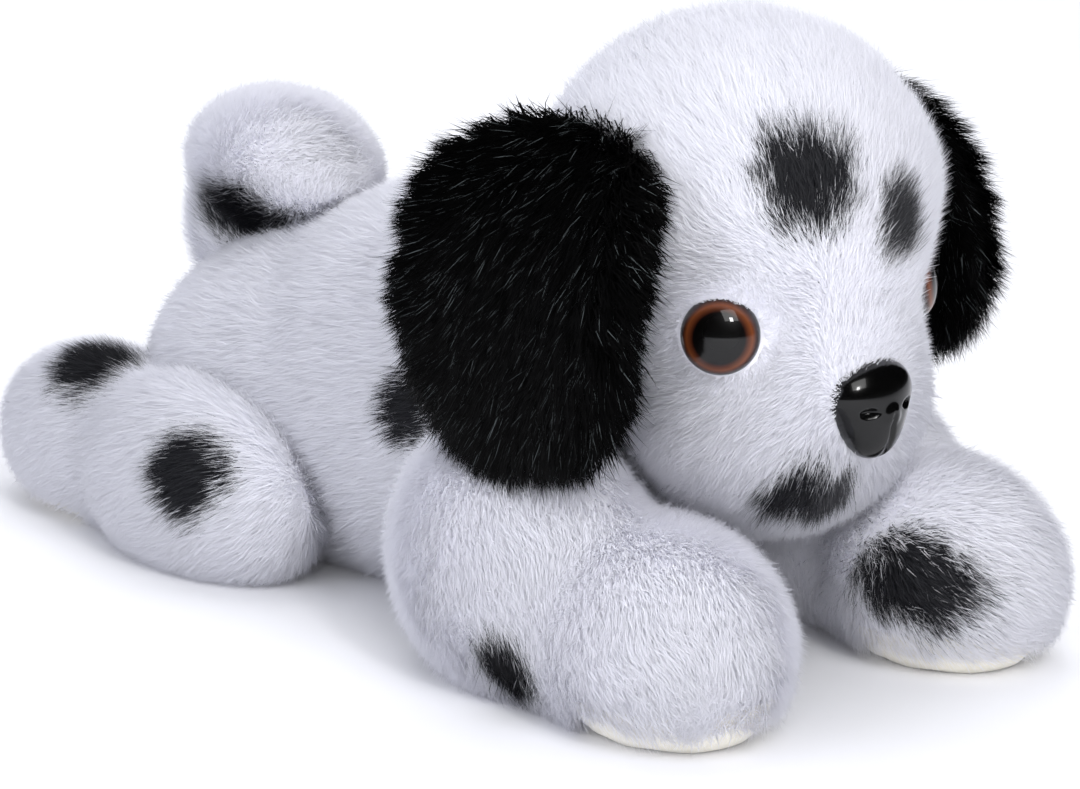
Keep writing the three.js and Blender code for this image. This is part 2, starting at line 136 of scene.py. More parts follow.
print("a form of one ball of radius 3:", Form((0, 0, 0), (1, 1, 1), [((0, 0, 0), 3.0)])
      .points(np.eye(3)).tolist())

# %% Grids for closed surfaces
def sphere_directions(around, along):
    """Unit directions on a grid of rings whose poles are -Y and +Y."""
    ring = np.linspace(0, np.pi, along + 1)[1:-1]
    turn = np.linspace(0, 2 * np.pi, around, endpoint=False)
    ring, turn = np.meshgrid(ring, turn, indexing="ij")
    grid = np.stack([np.sin(ring) * np.cos(turn), -np.cos(ring), np.sin(ring) * np.sin(turn)], -1)
    return np.concatenate([[[0, -1.0, 0]], grid.reshape(-1, 3), [[0, 1.0, 0]]])


def grid_faces(around, along):
    """Quads between the rings and a fan of triangles at each pole, facing out."""
    rows = np.arange(along - 2)[:, None] * around + 1
    i = np.arange(around)[None, :]
    j = (i + 1) % around
    quads = np.stack([rows + i, rows + around + i, rows + around + j, rows + j], -1).reshape(-1, 4)
    first, last = 0, (along - 1) * around + 1
    i, j = i[0], j[0]
    tip = (along - 2) * around + 1
    fans = np.concatenate([np.stack([np.full(around, first), i + 1, j + 1], -1),
                           np.stack([np.full(around, last), tip + j, tip + i], -1)])
    return quads.tolist() + fans.tolist()


print("a grid of 64 by 72 has", len(grid_faces(64, 72)), "faces")

# %% [markdown]
# The head and ears live in a frame of their own, with the middle of the skull at zero, and are
# turned and tilted as one. Everything else is laid out straight in the toy's frame.

# %% Frames
def turn_about(axis, degrees):
    return np.array(Matrix.Rotation(np.radians(degrees), 3, axis))


class Place:
    """A turn and a move from a part's own frame to the toy's: p' = spin p + move."""

    def __init__(self, spin=np.eye(3), move=(0, 0, 0)):
        self.spin = spin
        self.move = np.array(move, float)

    def points(self, p):
        return p @ self.spin.T + self.move

    def vectors(self, v):
        return v @ self.spin.T

    def own(self, p):
        """Back to the part's own frame."""
        return (p - self.move) @ self.spin


muzzle_drop = head_half * 0.88
muzzle_radius = head_half * 0.68
head_at = np.array([1.0, body_front - 13, CHIN_HEIGHT + muzzle_drop + muzzle_radius])
head_spin = turn_about("Z", HEAD_TURN) @ turn_about("Y", HEAD_TILT)
head_place = Place(head_spin, head_at + shift)
toy_place = Place(move=shift)
print("middle of the skull, mm:", head_place.move.round(1))

# %% [markdown]
# The real toy is sewn from flat panels that bulge when they are filled. The body is three lobes
# from the shoulders to the rump, with a small lobe for the neck. A lying lobe reaches a little
# below the floor, which presses it flat there.

# %% Body and neck
FLAT_PATCH = 4.0


def lying_lobe(y, half_width, half_length, height):
    """Centre and radii of a lobe from FLAT_PATCH below the floor up to `height`."""
    return (0, y, height / 2 - FLAT_PATCH / 2), (half_width, half_length, height / 2 + FLAT_PATCH / 2)


torso = Form((0, 8, 42), (1, 1.7, 1), [
    lying_lobe(body_front + 46, body_half, 46, SHOULDER_HEIGHT),
    lying_lobe(10, body_half - 1, 46, SHOULDER_HEIGHT * 0.945),
    lying_lobe(body_back - 53, body_half + 3, 53, rump_height)])
neck_at = (0, body_front + 22, SHOULDER_HEIGHT - 26)
neck = Form(neck_at, (1, 1, 1), [(neck_at, (30, 26, 29))])
print("the torso reaches from", body_front, "to", round(body_back, 1), "mm before its shift")

# %% [markdown]
# The head is a ball of a skull, a jaw and a round muzzle, with a dent where the thread of each
# eye pulls the fabric in. The muzzle is a little fuller than its solid, because filling pushes
# the cheeks out between the seams.

# %% Head and tail
CHEEK_FULLNESS = 3.5
CHIN_FULLNESS = 1.5
DENT_DEPTH = 5.0
DENT_SPREAD = 0.045
head_middle = np.array([0, -6, -head_half * 0.34])
eye_aim = {sign: np.array([sign * 0.68, -0.55, -0.45]) * head_half - head_middle for sign in (-1, 1)}
head = Form(head_middle, (1, 1, 1), [
    ((0, 0, 0), (head_half, head_half * 0.965, head_half * 0.95)),
    ((0, -head_half * 0.19, -head_half * 0.5), (head_half * 0.8, head_half * 0.74, head_half * 0.8)),
    ((0, -head_half * 0.26, -muzzle_drop),
     (muzzle_radius + CHEEK_FULLNESS, muzzle_radius * 0.97, muzzle_radius + CHIN_FULLNESS))],
    dents=[(aim, DENT_DEPTH, DENT_SPREAD) for aim in eye_aim.values()])
tail = Form((0, tail_y - 4, rump_height + 12), (1, 1.4, 1.2), [
    ((0, tail_y, rump_height - 2), (10.5, 10.5, 23)),
    ((0, tail_y + 9 - TAIL_LENGTH / 2, rump_height + 14.5), (14, TAIL_LENGTH / 2, 14))])
print("the eyes look along", {sign: aim.round(1).tolist() for sign, aim in eye_aim.items()})

# %% [markdown]
# A front leg is an upper arm, a wrist and a big paw; a hind leg is a thigh and a foot that points
# back. The last lobe of each is the one that wears the sole.

# %% Legs
def front_leg(side):
    x = side * leg_x
    return Form((x - side * 2, body_front - 18, 24), (1, 1.5, 1), [
        ((x, body_front + 4, 26), (leg_half, 34, 29)),
        ((x - side * 2, body_front - 20, 19), (leg_half * 0.86, 34, 21.5)),
        ((x - side * 4, body_front - 39, PAW_HEIGHT / 2 - 2.5), (leg_half + 2, 26, PAW_HEIGHT / 2 + 2.5))])


def hind_leg(side):
    x = side * leg_x
    foot_z = PAW_HEIGHT / 2 - 2.5
    return Form((x - side * 3, body_back - 31, 17), (1, 2, 1), [
        ((x, body_back - 58, foot_z), (leg_half * 0.87, 36, PAW_HEIGHT / 2 + 2.5)),
        ((x - side * 5, body_back - 7, foot_z), (leg_half * 0.82, 34, PAW_HEIGHT / 2))])


legs = {f"{end}_leg_{side}": make(sign)
        for end, make in (("front", front_leg), ("hind", hind_leg)) for side, sign in SIDES.items()}
print("forms:", ["torso", "neck", "head", "tail"] + list(legs))

# %% [markdown]
# Colours are given as sRGB hex and turned to linear once. One small function adds a shader node
# with its settings and links.

# %% Colour and node helpers
def linear(hex_colour):
    """sRGB hex to linear RGBA."""
    srgb = np.array([int(hex_colour[i:i + 2], 16) / 255 for i in (1, 3, 5)])
    rgb = np.where(srgb <= 0.04045, srgb / 12.92, ((srgb + 0.055) / 1.055) ** 2.4)
    return (*rgb.tolist(), 1.0)


def add_node(tree, kind, settings=None, **inputs):
    """Adds a node; settings are its properties, inputs are values or sockets to link.

    An input is named as on the node, with _ for a space, or iN for the input at place N.
    """
    node = tree.nodes.new(kind)
    for name, value in (settings or {}).items():
        setattr(node, name, value)
    for name, value in inputs.items():
        by_place = name[0] == "i" and name[1:].isdigit()
        socket = node.inputs[int(name[1:]) if by_place else name.replace("_", " ")]
        if isinstance(value, bpy.types.NodeSocket):
            tree.links.new(value, socket)
        else:
            socket.default_value = value
    return node


def new_material(name):
    """An empty node material, its tree and its output."""
    material = bpy.data.materials.new(name)
    material.use_nodes = True
    tree = material.node_tree
    tree.nodes.clear()
    return material, tree, tree.nodes.new("ShaderNodeOutputMaterial")


def two_tones(tree, tint_a, tint_b, scale, detail):
    """Noise on Object coordinates, and the two tints mixed by it."""
    place = add_node(tree, "ShaderNodeTexCoord")
    noise = add_node(tree, "ShaderNodeTexNoise", None, Vector=place.outputs["Object"], Scale=scale,
                     Detail=detail)
    tone = add_node(tree, "ShaderNodeMix", {"data_type": "RGBA"}, Factor=noise.outputs["Fac"],
                    i6=linear(tint_a), i7=linear(tint_b))
    return noise.outputs["Fac"], tone.outputs[2]


print("white is", [round(v, 3) for v in linear("#ffffff")])

# %% [markdown]
# The pile is modacrylic plush: fine, soft, slightly shiny fibres that let light through, so a
# white coat glows and has only soft blue-grey shadows. It could be painted on as a bump, but then
# its edge would be hard, so it is grown as blades. Each blade carries three numbers: how black
# it is, how far along it a point is, and a random shade of its own.

# %% Pile material
def pile_material(name, light, dark, root, roughness, shine, through, painted_glint_share=0.0):
    """Light or dark by "black", times painted shade that darkens each blade from `root` at the
    fabric to 1 at the tip.

    `through` is the share of light let through. The last argument is the share of fibres given a
    painted glint: light grey painted towards the tip, standing in for a highlight.
    """
    material, tree, output = new_material(name)
    black, along, vary = (add_node(tree, "ShaderNodeAttribute", {"attribute_name": value}).outputs["Fac"]
                          for value in ("black", "along", "vary"))
    colour = add_node(tree, "ShaderNodeMix", {"data_type": "RGBA"}, Factor=black,
                      i6=linear(light), i7=linear(dark))
    # painted shade: the colour is scaled from `root` at the fabric to 1 at the tip, standing in for shade
    # deep in the coat
    depth = add_node(tree, "ShaderNodeMapRange", None, Value=along, To_Min=root, To_Max=1.0)
    own = add_node(tree, "ShaderNodeMapRange", None, Value=vary, To_Min=0.94, To_Max=1.0)
    painted_root_shade_and_tone = add_node(tree, "ShaderNodeMath", {"operation": "MULTIPLY"},
                    i0=depth.outputs[0], i1=own.outputs[0])
    shade = add_node(tree, "ShaderNodeMix", {"data_type": "RGBA", "blend_type": "MULTIPLY"}, Factor=1.0,
                     i6=colour.outputs[2], i7=painted_root_shade_and_tone.outputs[0])
    body = shade.outputs[2]
    # painted glint: chosen fibres turn light grey towards the tip, standing in for highlights on shiny
    # fibres
    if painted_glint_share:
        chosen = add_node(tree, "ShaderNodeMath", {"operation": "GREATER_THAN"},
                          i0=vary, i1=1.0 - painted_glint_share)
        painted_glint_amount = add_node(tree, "ShaderNodeMath", {"operation": "MULTIPLY"}, i0=chosen.outputs[0], i1=along)
        painted_glint = add_node(tree, "ShaderNodeMix", {"data_type": "RGBA"}, Factor=painted_glint_amount.outputs[0],
                         i6=body, i7=linear("#5c6263"))
        body = painted_glint.outputs[2]
    skin = add_node(tree, "ShaderNodeBsdfPrincipled", None, Base_Color=body,
                    Roughness=roughness, Specular_IOR_Level=shine)
    glow = add_node(tree, "ShaderNodeBsdfTranslucent", None, Color=body)
    mix = add_node(tree, "ShaderNodeMixShader", None, i0=through, i1=skin.outputs[0], i2=glow.outputs[0])
    tree.links.new(mix.outputs[0], output.inputs["Surface"])
    return material


# The number after the colours is the painted shade's factor at the root: 1.0 paints no shade on the white
# pile, and 0.6 darkens the black pile's roots.
white_pile = pile_material("white_modacrylic_pile", "#f8f8fd", "#15161d", 1.0, 0.6, 0.25, 0.5)
# The black pile's last number, 0.025, is the share of its fibres given a painted glint.
black_pile = pile_material("black_modacrylic_pile", "#030303", "#030303", 0.6, 0.5, 0.05, 0.01, 0.025)
print("pile materials:", white_pile.name, black_pile.name)

# %% [markdown]
# Under the pile is its knitted backing: matt, dyed like the pile. It shows only in partings, so
# it needs no more than the pile's colour and a fine rib. A knit's rib is under 1 mm; it is drawn
# at 2 mm so that it shows at all.

# %% Backing material
RIB_SPACING = 2.0


def backing_material(name, light, dark):
    """Light or dark by "black", with bands of bump; bands repeat about every 0.3 / scale."""
    material, tree, output = new_material(name)
    place = add_node(tree, "ShaderNodeTexCoord")
    black = add_node(tree, "ShaderNodeAttribute", {"attribute_name": "black"})
    colour = add_node(tree, "ShaderNodeMix", {"data_type": "RGBA"}, Factor=black.outputs["Fac"],
                      i6=linear(light), i7=linear(dark))
    rib = add_node(tree, "ShaderNodeTexWave", None, Vector=place.outputs["Object"],
                   Scale=0.3 / (RIB_SPACING * MM), Distortion=2.0, Detail=2.0)
    bump = add_node(tree, "ShaderNodeBump", None, Height=rib.outputs["Fac"], Strength=0.4, Distance=0.2 * MM)
    skin = add_node(tree, "ShaderNodeBsdfPrincipled", None, Base_Color=colour.outputs[2],
                    Roughness=0.95, Normal=bump.outputs[0])
    tree.links.new(skin.outputs[0], output.inputs["Surface"])
    return material


white_backing = backing_material("white_knitted_backing", "#f0f0f8", "#15161d")
black_backing = backing_material("black_knitted_backing", "#08090a", "#08090a")
print("backing materials:", white_backing.name, black_backing.name)

# %% [markdown]
# Each spot is an oval patch of black pile. Its edge is ragged: a slow noise bends it, and a
# blade near the edge is black or white by chance, as dye soaks unevenly into pile.

# %% Spots
EDGE_NOISE = 0.16
EDGE_STEEPNESS = 8


def soft_noise(points, size, seed):
    """Sum of eight sine waves in random directions with wavelengths near `size`, about -1..1."""
    own = np.random.default_rng(seed)
    waves = own.normal(size=(8, 3))
    waves *= (2 * np.pi / size) / np.linalg.norm(waves, axis=1, keepdims=True)
    waves *= own.uniform(0.6, 1.6, (8, 1))
    return np.sin(points @ waves.T + own.uniform(0, 6.28, 8)).mean(1) * 1.9


def spot(at, half_sizes, lean=0.0, strength=1.0):
    """An oval patch: its middle, half sizes along X, Y and Z, its lean about Y, how black it is."""
    return np.array(at, float), np.array(half_sizes, float), turn_about("Y", lean), strength


def spot_shade(points, spots, chance=0.0):
    """Darkest spot at each point: its strength times a steep ramp of 1 - scaled distance + noise."""
    shade = np.zeros(len(points))
    ragged = EDGE_NOISE * soft_noise(points, 7.0, 3) + chance
    for at, half_sizes, spin, strength in spots:
        level = 1 - np.linalg.norm((points - at) @ spin / half_sizes, axis=1) + ragged
        shade = np.maximum(shade, strength * np.clip(level * EDGE_STEEPNESS + 0.5, 0, 1))
    return shade


def blackness(own_points, spots):
    """1 for a blade of black pile, 0 for white; chance mixes them, most of all near an edge."""
    shade = spot_shade(own_points, spots, 0.17 * rng.normal(size=len(own_points)))
    return shade * rng.uniform(0.95, 1.0, len(own_points))


print("a spot's middle is", spot_shade(np.zeros((1, 3)), [spot((0, 0, 0), (9, 9, 9))])[0], "black")

# %% [markdown]
# A skin is the sewn fabric of one stuffed form. A cloth simulation could fill it, but the pile
# hides every fold, so the form's own surface is used. Its distance from the centre is averaged
# along the form, which rounds the waists between lobes, and what is below the floor is pressed
# flat.

# %% Skins
FLOOR = 0.4


def add_object(mesh, material):
    """Puts a mesh into the scene, at the origin, with its material."""
    mesh.materials.append(material)
    piece = bpy.data.objects.new(mesh.name, mesh)
    bpy.context.scene.collection.objects.link(piece)
    return piece


def new_mesh(name, vertices, faces, material):
    """A smooth-shaded mesh object at the origin, from places in millimetres."""
    mesh = bpy.data.meshes.new(name)
    mesh.from_pydata((vertices * MM).tolist(), [], faces)
    mesh.validate()
    mesh.polygons.foreach_set("use_smooth", np.ones(len(mesh.polygons), bool))
    return add_object(mesh, material)


def point_value(mesh, name, values):
    mesh.attributes.new(name, "FLOAT", "POINT").data.foreach_set("value", values.astype(np.float32))


def eased(points, centre, around, passes):
    """Distance from the centre averaged with the rings before and after it, 1-2-1, many times."""
    away = points - centre
    reach = np.linalg.norm(away, axis=1)
    rings = reach[1:-1].reshape(-1, around)
    for _ in range(passes):
        padded = np.concatenate([np.full((1, around), reach[0]), rings, np.full((1, around), reach[-1])])
        rings = (padded[:-2] + 2 * rings + padded[2:]) / 4
    smooth = np.concatenate([[reach[0]], rings.ravel(), [reach[-1]]])
    return centre + away * (smooth / reach)[:, None]


def make_skin(name, form, place, grid, body, stands_for=(), spots=(), passes=24):
    """The form's surface, eased, moved to the toy's frame and pressed flat at the floor.

    It rides on `body`, and hides the solid panels that it stands for.
    """
    around, along = grid
    directions = sphere_directions(around, along) * form.aspect
    own = eased(form.points(directions), form.centre, around, passes)
    points = place.points(own)
    points[:, 2] = np.maximum(points[:, 2], FLOOR)
    piece = new_mesh(name, points, grid_faces(around, along), white_backing)
    point_value(piece.data, "black", spot_shade(own, spots))
    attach(piece, body)
    if stands_for:
        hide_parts(*stands_for)
    print(name, "has", len(piece.data.polygons), "faces")
    return piece


print("skins are pressed flat at", FLOOR, "mm")

# %% [markdown]
# Pile is tufted evenly over the fabric, so each blade's root is a random place on the skin's
# triangles, chosen by their area.

# %% Scattering roots
def triangles_of(piece):
    """Corner points and corner normals of a mesh's triangles, in millimetres."""
    mesh = piece.data
    mesh.calc_loop_triangles()
    corners = np.empty(len(mesh.loop_triangles) * 3, np.int32)
    mesh.loop_triangles.foreach_get("vertices", corners)
    points = np.empty(len(mesh.vertices) * 3, np.float32)
    mesh.vertices.foreach_get("co", points)
    normals = np.empty(len(mesh.vertices) * 3, np.float32)
    mesh.vertex_normals.foreach_get("vector", normals)
    corners = corners.reshape(-1, 3)
    return (points.reshape(-1, 3) / MM).astype(float)[corners], normals.reshape(-1, 3).astype(float)[corners]


def outward(piece):
    """Turns a closed mesh's faces round if they enclose a negative volume."""
    corners, _ = triangles_of(piece)
    if np.einsum("ij,ij->", corners[:, 0], np.cross(corners[:, 1], corners[:, 2])) < 0:
        piece.data.flip_normals()


def scatter(piece, count, keep):
    """Roots spread evenly by area; keep(points, normals) gives each one's chance of growing."""
    points, normals = triangles_of(piece)
    area = np.linalg.norm(np.cross(points[:, 1] - points[:, 0], points[:, 2] - points[:, 0]), axis=1)
    roots, ups = np.empty((0, 3)), np.empty((0, 3))
    while len(roots) < count:
        pick = rng.choice(len(area), count, p=area / area.sum())
        a, b = rng.random((2, count))
        flip = a + b > 1
        a[flip], b[flip] = 1 - a[flip], 1 - b[flip]
        weight = np.stack([1 - a - b, a, b], -1)[..., None]
        p = (points[pick] * weight).sum(1)
        n = (normals[pick] * weight).sum(1)
        n /= np.linalg.norm(n, axis=1, keepdims=True)
        chosen = rng.random(count) < keep(p, n)
        roots = np.concatenate([roots, p[chosen]])
        ups = np.concatenate([ups, n[chosen]])
    return roots[:count], ups[:count]


print("roots are scattered by area")

# %% [markdown]
# A fibre of pile leaves the fabric steeply and leans over the way it is combed, and neighbours
# share a tip, so that the coat falls in small locks. Blender's hair curves would not survive as
# a mesh, so each fibre is a flat blade. A quarter of them bend, with a quad and a triangle. The
# rest are single triangles, which fill the coat cheaply. Real fibres are 0.03 mm thick; a blade
# is about ten times that, as fine as the count of triangles allows.

# %% The line of each blade
BENT_PART = 0.26
FLYAWAY_PART = 0.08


def unit(v):
    return v / np.maximum(np.linalg.norm(v, axis=-1, keepdims=True), 1e-9)


def along_surface(v, n):
    """What is left of v without its part along the normal n."""
    return v - (v * n).sum(-1, keepdims=True) * n


def blade_lines(roots, ups, comb, length, width, lean, lock, pull, mess):
    """Left and right root corners, middle, tip, half width and comb direction of each blade.

    middle = root + L/2 at a quarter of the turn from lean[0] to lean[1] degrees off the normal;
    tip = middle + L/2 at 0.78 of it, then pulled towards the mean tip of its lock.
    """
    count = len(roots)
    swirl = np.stack([soft_noise(roots, 16.0, 20 + k) for k in range(3)], -1)
    comb = unit(along_surface(unit(comb) + 0.25 * swirl + mess * rng.normal(size=(count, 3)), ups))
    tilt = 6 * rng.normal(size=count) - 20 * (rng.random(count) < FLYAWAY_PART)
    length = length * rng.uniform(0.78, 1.12, count)

    def leaning(part):
        angle = np.radians(lean[0] + (lean[1] - lean[0]) * part + tilt)[:, None]
        return np.cos(angle) * ups + np.sin(angle) * comb

    half = (length / 2)[:, None]
    middle = roots + half * leaning(0.25)
    tip = middle + half * leaning(0.78)
    cell = np.floor((roots + 0.8 * swirl) / lock).astype(np.int64)
    _, which = np.unique(cell @ np.array([73856093, 19349663, 83492791]), return_inverse=True)
    share = np.bincount(which)[:, None]
    mean_tip = np.stack([np.bincount(which, tip[:, k]) for k in range(3)], -1) / share
    tip = tip + pull * (mean_tip[which] - tip) * rng.uniform(0.4, 1.3, (count, 1))
    middle = middle + 0.35 * pull * (mean_tip[which] - tip)
    across = unit(np.cross(ups, comb)) * (width / 2)
    across = across * rng.uniform(0.75, 1.25, (count, 1))
    return roots - across, roots + across, middle, tip, across, comb


print("share of bent blades:", BENT_PART, "and of flyaways:", FLYAWAY_PART)

# %% Blades as one mesh
def blade_mesh(name, points, bent, straight):
    """A quad and a triangle for each bent blade, then one triangle for each straight one."""
    mesh = bpy.data.meshes.new(name)
    mesh.vertices.add(len(points))
    mesh.vertices.foreach_set("co", (points * MM).astype(np.float32).ravel())
    loops = np.concatenate([((np.arange(bent) * 5)[:, None] + np.array([0, 2, 3, 1, 3, 2, 4])).ravel(),
                            ((np.arange(straight) * 3)[:, None] + bent * 5 + np.array([0, 2, 1])).ravel()])
    mesh.loops.add(len(loops))
    mesh.loops.foreach_set("vertex_index", loops.astype(np.int32))
    starts = np.concatenate([((np.arange(bent) * 7)[:, None] + np.array([0, 4])).ravel(),
                             np.arange(straight) * 3 + bent * 7])
    mesh.polygons.add(len(starts))
    mesh.polygons.foreach_set("loop_start", starts.astype(np.int32))
    mesh.update(calc_edges=True)
    mesh.polygons.foreach_set("use_smooth", np.ones(len(starts), bool))
    return mesh


def blade_map(mesh, bent, straight):
    """A UV map that gives each blade its own cell of a square grid."""
    count = bent + straight
    side = int(np.ceil(np.sqrt(count)))
    cell = np.stack([np.arange(count) % side, np.arange(count) // side], -1)[:, None]
    curved = np.array([[0.1, 0], [0.1, 0.55], [0.9, 0.55], [0.9, 0], [0.9, 0.55], [0.1, 0.55], [0.5, 1.0]])
    spike = np.array([[0.0, 0], [0.5, 1.0], [1.0, 0]])
    places = np.concatenate([(cell[:bent] + curved).reshape(-1, 2), (cell[bent:] + spike).reshape(-1, 2)])
    mesh.uv_layers.new(name="OFBake").uv.foreach_set("vector", (places / side).astype(np.float32).ravel())


print("a bent blade has 5 points and 3 triangles, a straight one 3 points and 1 triangle")

# %% Growing the pile
def grow_pile(name, roots, ups, comb, length, black, material, width=0.26, lean=(32, 78),
              lock=2.2, pull=0.28, mess=0.24):
    """One mesh of blades, shaded by the fabric's normal so that the coat reads as one surface."""
    count = len(roots)
    bent = int(count * BENT_PART)
    straight = count - bent
    left, right, middle, tip, across, comb = blade_lines(roots, ups, comb, length, width, lean, lock,
                                                         pull, mess)
    curved = np.stack([left, right, middle - 0.85 * across, middle + 0.85 * across, tip], 1)[:bent]
    spike = np.stack([left, right, tip], 1)[bent:]
    points = np.concatenate([curved.reshape(-1, 3), spike.reshape(-1, 3)])
    points[:, 2] = np.maximum(points[:, 2], FLOOR)
    mesh = blade_mesh(name, points, bent, straight)

    def per_point(values):
        return np.concatenate([np.repeat(values[:bent], 5, 0), np.repeat(values[bent:], 3, 0)])

    toned = unit(ups + 0.16 * rng.normal(size=(count, 3)) + 0.25 * comb)
    mesh.attributes.new("custom_normal", "FLOAT_VECTOR", "POINT").data.foreach_set(
        "vector", per_point(toned).astype(np.float32).ravel())
    point_value(mesh, "black", per_point(black))
    point_value(mesh, "along", np.concatenate([np.tile([0, 0, 0.55, 0.55, 1.0], bent),
                                               np.tile([0, 0, 1.0], straight)]))
    point_value(mesh, "vary", per_point(rng.random(count)))
    blade_map(mesh, bent, straight)
    print(name, "has", count, "blades and", bent * 3 + straight, "triangles")
    return add_object(mesh, material)


print("blades are ready to grow")

# %% [markdown]
# Where one stuffed form sinks into another there is nothing to see, so no pile grows more than
# a few millimetres inside a neighbour. The legs' pile goes deeper, because a leg that splays
# brings some of its hidden side out.

# %% A coat of white pile
SEAM_PILE = 5.0
LEG_SEAM_PILE = 15.0
PILE_LENGTH = 8.0
LEG_PILE_LENGTH = 7.5
all_forms = {"torso": (torso, toy_place), "neck": (neck, toy_place), "head": (head, head_place),
             "tail": (tail, toy_place), **{name: (form, toy_place) for name, form in legs.items()}}


def clear_of_others(own_name, points, margin):
    """True where a point is less than `margin` inside another form. The torso ignores the neck."""
    clear = np.ones(len(points), bool)
    for name, (form, place) in all_forms.items():
        if name == own_name or (own_name == "torso" and name == "neck"):
            continue
        thick = min(r.min() for _, r in form.lobes)
        clear &= form.depth(place.own(points)) < margin / thick
    return clear


def coat(name, form_name, skin, body, count, comb, length, spots, keep=None, margin=SEAM_PILE, **style):
    """Scatters roots on a skin, combs, colours and grows the pile, and makes it ride."""
    place = all_forms[form_name][1]

    def chance(p, n):
        off_floor = (p[:, 2] > 1.0) | (n[:, 2] > -0.9)
        allowed = clear_of_others(form_name, p, margin) & off_floor
        return allowed * (keep(place.own(p)) if keep else 1.0)

    roots, ups = scatter(skin, count, chance)
    own = place.own(roots)
    way = place.vectors(comb(own))
    lengths = length(own) if callable(length) else np.full(count, float(length))
    piece = grow_pile(name, roots, ups, way, lengths, blackness(own, spots), white_pile, **style)
    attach(piece, body)
    return piece


print("forms that pile avoids:", len(all_forms))

# %% [markdown]
# Moulded eyes and a nose are pushed through the fabric and locked behind it with washers. Their
# places come first, because the pile round them is parted and cut short, and none grows under
# them.

# %% Where the eyes and the nose sit
def on_head(direction):
    return head.points(np.array([direction], float))[0]


eye_at = {side: on_head(eye_aim[sign]) for side, sign in SIDES.items()}
eye_facing = {side: unit(np.array([sign * 0.72, -0.66, 0.12])) for side, sign in SIDES.items()}
nose_at = on_head(np.array([0, -1, -0.68]))
print("eyes:", {side: at.round(1).tolist() for side, at in eye_at.items()}, "nose:", nose_at.round(1))

# %% [markdown]
# The head's coat is brushed away from the nose over the whole skull, and falls a little down the
# cheeks. A groomer's comb could be drawn as curves, but one formula for the direction and one
# for the length say the same. The face has a black patch on the forehead, one on the brow and
# one, made of two ovals, on the muzzle; the other two are on the head's back and left side.

# %% Combing the head
def comb_head(own):
    """Away from the nose, with some fall down the cheeks, and parted round the eyes."""
    way = unit(own - nose_at - np.array([0, 4.0, 0]))
    cheek = np.clip(1 - own[:, 2:] / 20, 0, 1.5) * (np.abs(own[:, :1]) > 12)
    way = way + np.array([0, 0, -0.35]) * cheek
    for at in eye_at.values():
        near = np.linalg.norm(own - at, axis=1, keepdims=True)
        way = way + 3.0 * np.exp(-np.maximum(near - eye_half, 0) / 3.0) * unit(own - at)
    return way


def head_length(own):
    """2 mm at an eye's rim and 4 mm at the nose's, growing to full length over 16 and 10 mm."""
    length = np.full(len(own), PILE_LENGTH)
    for at in eye_at.values():
        near = np.linalg.norm(own - at, axis=1)
        length = np.minimum(length, 2.0 + 6.0 * np.clip((near - eye_half - 2) / 14, 0, 1))
    near = np.linalg.norm(own - nose_at, axis=1)
    return np.minimum(length, 4.0 + 4.0 * np.clip((near - nose_half) / 10, 0, 1))


def bare_face(own):
    """True where no eye or nose covers the fabric."""
    clear = np.linalg.norm(own - nose_at, axis=1) > nose_half * 0.8
    for at in eye_at.values():
        clear &= np.linalg.norm(own - at, axis=1) > eye_half + 0.8
    return clear


HEAD_SPOTS = [spot((-14, -38, 12), (9.5, 13, 10), lean=-15),
              spot((5.5, -42, 0), (6, 9, 8.5), strength=0.95),
              spot((-15, -35, -52), (8.5, 9, 7.5)),
              spot((-8, -36, -53), (7, 9, 6), strength=0.9),
              spot((14, 30, 22), (12, 9, 11)),
              spot((36, -4, 2), (10, 8, 7))]
print("pile at the nose is", head_length(nose_at[None]), "mm long")

# %% Head
head_skin = make_skin("head_skin", head, head_place, (96, 72), "head",
                      ("head_crown_panel", "head_chin_panel", "head_cheek_left", "head_cheek_right"),
                      HEAD_SPOTS)
coat("head_pile_front", "head", head_skin, "head", 124000, comb_head, head_length, HEAD_SPOTS,
     lambda own: bare_face(own) & (own[:, 1] < -6))
coat("head_pile_back", "head", head_skin, "head", 100000, comb_head, head_length, HEAD_SPOTS,
     lambda own: own[:, 1] >= -6)

# %% [markdown]
# The body's coat runs from the neck to the rump and falls down the flanks. Its pile is made in
# two halves, so that each stays a light mesh.

# %% Torso and neck
TORSO_SPOTS = [spot((-38, -29, 51), (12, 9, 8)),
               spot((38, -8, 48), (12, 10, 8)),
               spot((20, 52, 62), (12, 10, 10))]


def comb_torso(own):
    """Backwards and a little outwards and down."""
    return np.stack([own[:, 0] * 0.004, np.ones(len(own)), -0.35 * np.ones(len(own))], -1)


torso_skin = make_skin("torso_skin", torso, toy_place, (96, 110), "torso",
                       ("body_panel_left", "body_panel_right", "belly_panel"), TORSO_SPOTS, passes=60)
neck_skin = make_skin("neck_skin", neck, toy_place, (64, 40), "torso")
coat("torso_pile_right", "torso", torso_skin, "torso", 124000, comb_torso, PILE_LENGTH, TORSO_SPOTS,
     lambda own: own[:, 0] < 0)
coat("torso_pile_left", "torso", torso_skin, "torso", 96000, comb_torso, PILE_LENGTH, TORSO_SPOTS,
     lambda own: own[:, 0] >= 0)
coat("neck_pile", "neck", neck_skin, "torso", 26000, comb_torso, PILE_LENGTH, TORSO_SPOTS)

# %% [markdown]
# Each leg is a filled tube with pile brushed towards the toes, a little shorter than the body's.
# No pile grows on the sole, which is another fabric. The legs that are seen most get the most
# blades.

